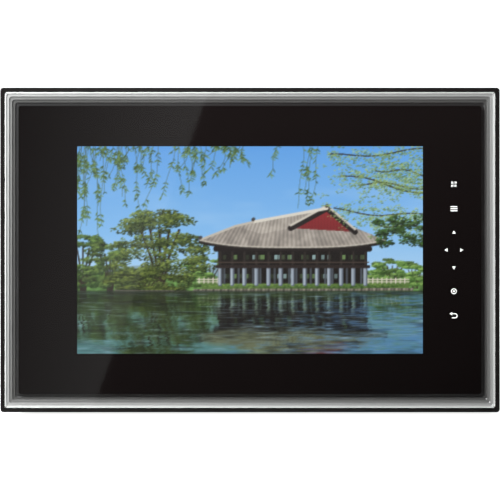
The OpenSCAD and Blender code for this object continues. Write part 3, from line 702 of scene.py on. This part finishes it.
def paint_storeys(left, right):
    """The dark body with glimpses through it, its posts, deck and railing."""
    shape([(left, GROUND), (right, GROUND), (right, EAVE + 0.03), (left, EAVE + 0.03)],
          tint("#15130f"))
    for _ in range(70):
        x, y = rng.uniform(left + 0.02, right - 0.02), rng.choice((GROUND + 0.022, DECK + 0.038))
        shape([(x, y), (x + 0.014, y), (x + 0.014, y + 0.022), (x, y + 0.022)],
              tint(str(rng.choice(("#6d8a55", "#8fa9a8", "#3f4a33")))) * rng.uniform(0.5, 1.0))
    for x in np.linspace(left + 0.03, right - 0.03, 20):
        stroke([(x, GROUND), (x, DECK)], 0.009, tint("#4a5058"))
    for x in np.linspace(left + 0.01, right - 0.01, 13):
        stroke([(x, GROUND - 0.004), (x, DECK)], 0.020, tint("#5d6672"))
        stroke([(x - 0.003, GROUND - 0.004), (x - 0.003, DECK)], 0.011, tint("#a3aebb"))
        stroke([(x, DECK), (x, EAVE + 0.02)], 0.011, tint("#2c2622"))
    for y, past, width, code in ((DECK + 0.003, 0.006, 0.015, "#29211d"),
                                 (DECK + 0.024, 0.006, 0.005, "#4d3f35"),
                                 (EAVE + 0.018, 0.01, 0.026, "#1a1613")):
        stroke([(left - past, y), (right + past, y)], width, tint(code))


print("the hall spans", HALL, "and its deck lies at", round(DECK, 3))

# %% [markdown]
# The roof is what one sees first. Its eaves sweep up towards the ends, and an even tone would
# make it look flat, so it gets rows of tiles that draw together upwards, as on a real slope.

# %% the hall's roof
def tiles(x, y):
    """Rows of roof tiles that draw together upwards, with weathered patches."""
    squeeze = np.maximum(1.08 - (y - EAVE) * 1.9, 0.3)
    rows = 0.95 + 0.09 * np.sin((x - 1.02) / squeeze * 300)
    weather = clouds(50, 30, 3, 61)[cells(x[0, 0], x[0, -1], y[0, 0], y[-1, 0])]
    return rows * (0.78 + 0.42 * weather[:x.shape[0], :x.shape[1]])


def paint_roof(middle, half):
    """A sweeping slope of tiles, and above it the gable with its boards and ridges."""
    sweep = np.linspace(-1, 1, 33)
    low = [(middle + s * half, EAVE + 0.026 + 0.034 * abs(s) ** 3) for s in sweep]
    high = [(middle + s * half * 0.62, EAVE + 0.125 + 0.006 * s * s) for s in sweep[::-1]]
    stroke([(x, y - 0.008) for x, y in low], 0.018, tint("#211d1a"))
    shape(low + high, tint("#a49b92"), tiles)
    stroke(low, 0.008, tint("#c9c0b3"), 0.8)
    front, peak, rear = ((middle + 0.30, EAVE + 0.100), (middle + 0.165, RIDGE),
                         (middle - 0.01, EAVE + 0.118))
    back, shoulder = (middle - 0.19, RIDGE - 0.065), (middle - 0.62 * half, EAVE + 0.128)
    shape([rear, peak, back, shoulder, (middle - 0.15, EAVE + 0.09)], tint("#b3aaa0"), tiles)
    shape([front, peak, rear], tint("#842a2d"),
          lambda x, y: 0.82 + 0.25 * (y - EAVE) / 0.2 + 0.05 * np.sin(x * 420))
    for foot in (front, rear):
        stroke([foot, peak], 0.028, tint("#221e1d"))
        stroke([(foot[0], foot[1] + 0.013), (peak[0], peak[1] + 0.013)], 0.010, tint("#cfc7ba"))
    stroke([peak, back], 0.014, tint("#ddd6ca"))
    stroke([back, shoulder, (middle - half, EAVE + 0.062)], 0.010, tint("#c4bbae"))
    for x, y in (peak, back, low[0], low[-1]):
        dab(x, y + 0.012, 0.011, 0.009, 0.8, tint("#3d3835"))


def paint_hall():
    """The storeys, and the roof that reaches past them."""
    left, right = HALL
    paint_storeys(left, right)
    paint_roof((left + right) / 2, (right - left) / 2 + 0.085)


print("the ridge stands at", round(RIDGE, 3))

# %% [markdown]
# Before the hall lie a lawn, a stone edge and a pale fence along the water. They hide its foot,
# so that it stands on the bank and doesn't seem to float.

# %% the terrace
FENCE = np.arange(0.59, 1.60, 0.022)


def paint_terrace():
    """The lawn, its stone edge, a pale fence and the stones of the near bank."""
    shape([(0.60, SHORE + 0.004), (1.60, SHORE + 0.010), (1.60, SHORE + 0.042), (0.60, SHORE + 0.038)],
          tint("#587439"))
    clump(1.1, SHORE + 0.022, 0.50, 0.014, 900, tint("#2e4a1e"), tint("#87a452"), 0.006)
    shape([(0.56, SHORE - 0.006), (1.62, SHORE), (1.62, SHORE + 0.012), (0.56, SHORE + 0.008)],
          tint("#8f8778"), lambda x, y: 0.8 + 0.3 * np.sin(x * 260) * np.sin(x * 93))
    for y in (SHORE + 0.042, SHORE + 0.054):
        stroke([(0.58, y), (1.60, y)], 0.005, tint("#d2c8b8"))
    for x in FENCE:
        stroke([(x, SHORE + 0.036), (x, SHORE + 0.060)], 0.005, tint("#dcd3c4"))
    shape([(0.18, SHORE - 0.026), (0.62, SHORE - 0.022), (0.64, SHORE), (0.18, SHORE + 0.004)],
          tint("#7d7466"), lambda x, y: 0.55 + 0.5 * np.abs(np.sin(x * 130 + 2 * np.sin(y * 300))))


print(len(FENCE), "fence posts")

# %% [markdown]
# ### Water
# Still water is the painted scene turned over. Ripples pull it about, more so nearer to the eye,
# it is darker and greener than the scene itself, and open sky shows in it towards the right.

# %% water
def paint_water():
    """The lake mirrors what stands above the shore, broken up by ripples."""
    depth = np.clip((SHORE - Y) / SHORE, 0, 1)
    swell, ripple = clouds(9, 70, 3, 41) - 0.5, clouds(40, 190, 3, 43) - 0.5
    up = SHORE + (SHORE - Y) * 1.08 + (0.10 * depth + 0.01) * swell + 0.04 * ripple
    along = X + (0.05 * depth + 0.004) * ripple + 0.03 * depth * swell
    row = np.clip(up * HIGH, 0, HIGH - 1).astype(int)
    column = np.clip(along * HIGH, 0, WIDE - 1).astype(int)
    blur = (-9, -5, -2, 0, 2, 5, 9)
    mirror = sum(canvas[np.clip(row + k, 0, HIGH - 1), column] for k in blur) / len(blur)
    mirror = mirror * tint("#99ab86")
    open_sky = 0.10 + 0.75 * (X - 1.25) + 1.1 * ripple + 0.25 * depth * (X > 0.7)
    open_sky = np.clip(open_sky, 0.02, 0.8)[..., None]
    water = mirror * (1 - open_sky) + tint("#5080b4") * open_sky
    glint = np.clip(clouds(22, 210, 2, 47) - 0.60, 0, 1)[..., None] * 1.5
    water += glint * (tint("#9fb9cf") - water)
    murk = np.clip(clouds(16, 120, 3, 53) - 0.52, 0, 1)[..., None] * 1.6
    water -= murk * water * 0.75
    below = Y < SHORE - 0.005
    canvas[below] = water[below]
    edge = cells(0, SPAN, SHORE - 0.03, SHORE - 0.004)
    lay(edge, 0.6 * (1 - (SHORE - Y[edge]) / 0.03), tint("#1c2620"))


print("the lake fills", round(100 * SHORE), "percent of the picture")

# %% [markdown]
# ### Twigs in front
# What hangs nearest is painted last: willow twigs at the left and the middle, leafy branches at
# the right. With them the picture is whole, and its fine cells are averaged to the glass's points.

# %% twigs and branches in front
def twig(x, y, length, swing, leafy):
    """A hanging willow twig with narrow leaves in loose tufts."""
    dark, light = tint("#294020"), tint("#7d9c50")
    t = np.linspace(0, 1, 18)
    line = list(zip(x + swing * t * t + 0.005 * np.sin(8 * t + x * 40), y - length * t))
    stroke(line, 0.0026, tint("#47563a"), 0.6)
    for k in range(int(length * 260 * leafy)):
        px, py = line[rng.integers(2, 18)]
        if math.sin(py * 55 + x * 31) > rng.uniform(-0.9, 0.9):
            turn = -math.pi / 2 + rng.choice((-1, 1)) * rng.uniform(0.3, 1.2)
            leaf = rng.uniform(0.006, 0.013)
            dab(px + leaf * math.cos(turn), py + leaf * math.sin(turn), leaf, 0.0028, turn,
                dark + (light - dark) * rng.random())


def paint_willow():
    """Many twigs that get shorter to the right, and a few more in the middle."""
    for _ in range(58):
        x = 0.80 * rng.random() ** 1.25
        twig(x, 1.02, rng.uniform(0.06, 0.46) * (1.1 - x), rng.uniform(-0.08, 0.03), 1.0)
    for x in (0.96, 1.09, 1.12, 1.13, 1.16):
        twig(x, 1.02, rng.uniform(0.12, 0.32), -0.03, 0.8)


def paint_branches():
    """Arms that reach in from the right with pale leaves, and a dark mass below them."""
    wood = tint("#2b241c")
    arms = [((1.70, 0.86), (1.44, 0.89)), ((1.70, 0.80), (1.36, 0.82)), ((1.70, 0.77), (1.27, 0.86)),
            ((1.70, 0.66), (1.24, 0.69)), ((1.70, 0.60), (1.42, 0.63)), ((1.70, 0.98), (1.22, 0.95))]
    for (x0, y0), (x1, y1) in arms:
        t = np.linspace(0, 1, 9)
        stroke(list(zip(x0 + (x1 - x0) * t, y0 + (y1 - y0) * t + 0.012 * np.sin(7 * t + y0 * 20))),
               0.006, wood)
        for t in np.linspace(0.05, 1.05, 70):
            clump(x0 + (x1 - x0) * t + rng.normal(0, 0.03), y0 + (y1 - y0) * t + rng.normal(0, 0.03),
                  0.028, 0.012, 8, tint("#55703c"), tint("#b4cd84"), 0.0048)
    for _ in range(60):
        clump(rng.uniform(1.44, 1.68), rng.uniform(0.52, 0.66), 0.02, 0.012, 12,
              tint("#13200f"), tint("#4d7434"), 0.007)


def paint_picture():
    """Paints from the back to the front, then averages the fine cells."""
    for paint in (paint_sky, paint_far_bank, paint_trees, paint_terrace, paint_hall, paint_water,
                  paint_willow, paint_branches):
        paint()
    return np.clip(canvas, 0, 1).reshape(ROWS, FINE, COLS, FINE, 3).mean((1, 3))


picture = paint_picture()
print("picture of", COLS, "by", ROWS, "points, mean", picture.mean((0, 1)).round(2))

# %% [markdown]
# ## The display
# The display is one sheet of glass. Its front is a fine grid of points that carry the picture's
# colours, and a black edge that the window in the print hides runs round them. The glow comes
# from the shader's emission, which reads the colours, over a dark base that glints a little.

# %% the glass with its picture
GLASS_T = 1.2 * MM
GLASS_Y = PANEL_T + 1.3 * MM
GLASS_W = 163.8 * MM
GLASS_H = 98.8 * MM


def lit_display():
    """Dark glass that glows with the colours of its points."""
    material, tree = new_finish("lit_display_glass")
    glow = add(tree, "Attribute", attribute_name="picture")
    output(tree, add(tree, "BsdfPrincipled", {
        "Base Color": linear("#050506"), "Roughness": 0.25, "IOR": 1.52, "Emission Strength": 1.05},
        {"Emission Color": glow.outputs["Color"]}))
    return material


def colour_points(mesh):
    """Gives the grid's points their colours of the picture, and the points round them black."""
    count = COLS * ROWS
    place = np.zeros(len(mesh.vertices) * 3, np.float32)
    mesh.vertices.foreach_get("co", place)
    place = place.reshape(-1, 3)[:count]
    column = np.rint((place[:, 0] / VIEW_W + 0.5) * (COLS - 1)).astype(int)
    row = np.rint(((place[:, 2] - MID_Z) / VIEW_H + 0.5) * (ROWS - 1)).astype(int)
    colours = np.zeros((len(mesh.vertices), 4), np.float32)
    colours[:, 3] = 1
    colours[:count, :3] = to_linear(picture[row, column])
    layer = mesh.color_attributes.new("picture", "FLOAT_COLOR", "POINT")
    layer.data.foreach_set("color", colours.ravel())


def display():
    """A grid for the picture, a dark edge extruded round it, then the glass's thickness."""
    bpy.ops.mesh.primitive_grid_add(x_subdivisions=COLS - 1, y_subdivisions=ROWS - 1, size=1,
                                    rotation=(math.pi / 2, 0, 0), location=(0, GLASS_Y, MID_Z))
    glass = bpy.context.object
    glass.scale = (VIEW_W, VIEW_H, 1)
    only(glass)
    bpy.ops.object.transform_apply(location=True, rotation=True, scale=True)
    bpy.ops.object.mode_set(mode="EDIT")
    bpy.ops.mesh.select_all(action="SELECT")
    bpy.ops.mesh.region_to_loop()
    bpy.ops.mesh.extrude_region_move()
    bpy.ops.transform.resize(value=(GLASS_W / VIEW_W, 1, GLASS_H / VIEW_H),
                             center_override=(0, GLASS_Y, MID_Z))
    bpy.ops.mesh.extrude_region_move(TRANSFORM_OT_translate={"value": (0, GLASS_T, 0)})
    bpy.ops.mesh.edge_face_add()
    bpy.ops.mesh.select_all(action="SELECT")
    bpy.ops.mesh.normals_make_consistent(inside=False)
    bpy.ops.object.mode_set(mode="OBJECT")
    colour_points(glass.data)
    glass.data.materials.append(lit_display())
    settle(glass, "display_glass", "lcd_glass")


display()

# %% [markdown]
# ## The studio
# The camera looks straight at the leaned-back face from a metre and a half away. Its lens is
# worked out so that the rim, which lies a little behind the face, fills 99.88 percent of the
# view's width.

# %% camera
CAMERA_AWAY = 1.5
SENSOR_W = 36.0
RIM_BEHIND = 1.25 * MM
FILLS = 0.9988
face_turn = lean_turn @ Matrix.Rotation(math.pi / 2, 4, "X")
face_middle = stand @ Vector((0, 0, MID_Z))
towards_camera = (lean_turn @ Vector((0, -1, 0))).normalized()

camera_data = bpy.data.cameras.new("front_camera")
camera_data.sensor_width = SENSOR_W
camera_data.lens = SENSOR_W * (CAMERA_AWAY + RIM_BEHIND) * FILLS / BODY_W
camera = bpy.data.objects.new("front_camera", camera_data)
camera.matrix_world = Matrix.Translation(face_middle + towards_camera * CAMERA_AWAY) @ face_turn
bpy.context.scene.collection.objects.link(camera)
bpy.context.scene.camera = camera
bpy.context.scene.view_settings.view_transform = "Standard"
bpy.context.scene.view_settings.look = "None"
print("lens", round(camera_data.lens, 1), "mm at", CAMERA_AWAY, "m")

# %% [markdown]
# The frame stands on a plain pale light table. It gives off some light itself, so the shadow at
# the frame's foot stays faint, but matt surfaces don't take light from it: the face is lit from
# the front and above, not from below.

# %% floor
FLOOR_SIDE = 12


def light_table():
    """Opal sheet with a soft glow."""
    material, tree = new_finish("opal_light_table")
    grain = noise_at(tree, 3 * MM)
    rough = add(tree, "MapRange", {"To Min": 0.85, "To Max": 0.95}, {"Value": grain.outputs["Fac"]})
    output(tree, add(tree, "BsdfPrincipled", {
        "Base Color": linear("#969696"), "Specular IOR Level": 0.1,
        "Emission Color": linear("#ffffff"), "Emission Strength": 0.92},
        {"Roughness": rough.outputs[0]}))
    return material


bpy.ops.mesh.primitive_plane_add(size=FLOOR_SIDE, location=(0, 0, 0))
floor = bpy.context.object
floor.name = "floor"
floor.data.materials.append(light_table())
floor.visible_diffuse = False
print("light table", FLOOR_SIDE, "m square")

# %% [markdown]
# The key light is a small one near the upper left corner, in front. It is so near that the far
# side of the ring gets less of it, and it comes in so low that the risers which face away from
# it, at the left and the top, fall dark. A large soft light overhead, one behind for the rear
# side and a dim room fill in the rest.

# %% lights
def area_light(name, place, aim, side, power):
    """A square soft light at a place, turned to shine at a point."""
    data = bpy.data.lights.new(name, "AREA")
    data.shape = "SQUARE"
    data.size = side
    data.energy = power
    light = bpy.data.objects.new(name, data)
    facing = (aim - place).to_track_quat("-Z", "Y").to_matrix().to_4x4()
    light.matrix_world = Matrix.Translation(place) @ facing
    bpy.context.scene.collection.objects.link(light)
    light.visible_camera = False
    print(name, power, "W,", side, "m square")


def seen_from_face(x, y, z):
    """A point given from the middle of the face: right, out of the face, up along it."""
    return stand @ (Vector((0, 0, MID_Z)) + Vector((x, -y, z)))


area_light("overhead", Vector((0, 0.2, 2.2)), Vector((0, 0, 0)), 3.2, 10)
area_light("key", seen_from_face(-0.42, 0.3, 0.42), face_middle, 0.24, 24)
area_light("rear_fill", Vector((1.6, 2.4, 1.4)), Vector((0, 0, 0.07)), 1.2, 80)

world = bpy.data.worlds.new("studio")
bpy.context.scene.world = world
world.use_nodes = True
air = world.node_tree
air.nodes.clear()
direct = add(air, "LightPath")
room = add(air, "Background", {"Color": linear("#f4f6f8"), "Strength": 0.12})
backdrop = add(air, "Background", {"Color": linear("#ffffff"), "Strength": 1.0})
both = add(air, "MixShader", {}, {0: direct.outputs["Is Camera Ray"], 1: room.outputs[0],
                                  2: backdrop.outputs[0]})
add(air, "OutputWorld", links={"Surface": both.outputs[0]})

# %% [markdown]
# A glossy black panel shows little but what it mirrors. A dark flag behind the camera keeps it
# black, and a white card before the flag gives it one broad sheen on the left. Both are seen
# only in reflections. The card's straight edge stands where the panel mirrors it along the
# slanted line, so it is worked out from the line's two ends on the face: a mirror image grows
# by the way from camera to face and on to the card.

# %% flag and card
FLAG_AWAY = 1.7
FLAG_X, FLAG_Z = 0.26, 0.18
CARD_AWAY = 1.6
CARD_OUTER_X = -0.26
SHEEN_TOP = (-17.6 * MM, 71.6 * MM)
SHEEN_LOW = (-67.4 * MM, -65.0 * MM)


def mirror_only(name, corners, away, colour, gains):
    """A flat glowing sheet that faces the frame, with a brightness for each of its corners."""
    mesh = bpy.data.meshes.new(name)
    mesh.from_pydata([seen_from_face(x, away, z) for x, z in corners], [], [range(len(corners))])
    piece = bpy.data.objects.new(name, mesh)
    bpy.context.scene.collection.objects.link(piece)
    glow = mesh.color_attributes.new("glow", "FLOAT_COLOR", "POINT")
    for point, gain in zip(glow.data, gains):
        point.color = (gain, gain, gain, 1)
    material, tree = new_finish(name + "_glow")
    level = add(tree, "Attribute", attribute_name="glow")
    output(tree, add(tree, "Emission", {"Color": linear(colour)},
                     {"Strength": level.outputs["Fac"]}))
    mesh.materials.append(material)
    for ray in ("camera", "diffuse", "transmission", "volume_scatter", "shadow"):
        setattr(piece, "visible_" + ray, False)
    print(name, "at", away, "m")


grow = 1 + CARD_AWAY / CAMERA_AWAY
top, low = Vector(SHEEN_TOP) * grow, Vector(SHEEN_LOW) * grow
past = (top - low) * 0.05
top, low = top + past, low - past
mirror_only("flag", [(-FLAG_X, -FLAG_Z), (FLAG_X, -FLAG_Z), (FLAG_X, FLAG_Z), (-FLAG_X, FLAG_Z)],
            FLAG_AWAY, "#ecd0ce", [0.17, 0.02, 0.24, 0.32])
mirror_only("card", [tuple(top), tuple(low), (CARD_OUTER_X, low.y), (CARD_OUTER_X, top.y)],
            CARD_AWAY, "#f6f1ef", [0.82, 0.52, 0.14, 0.02])
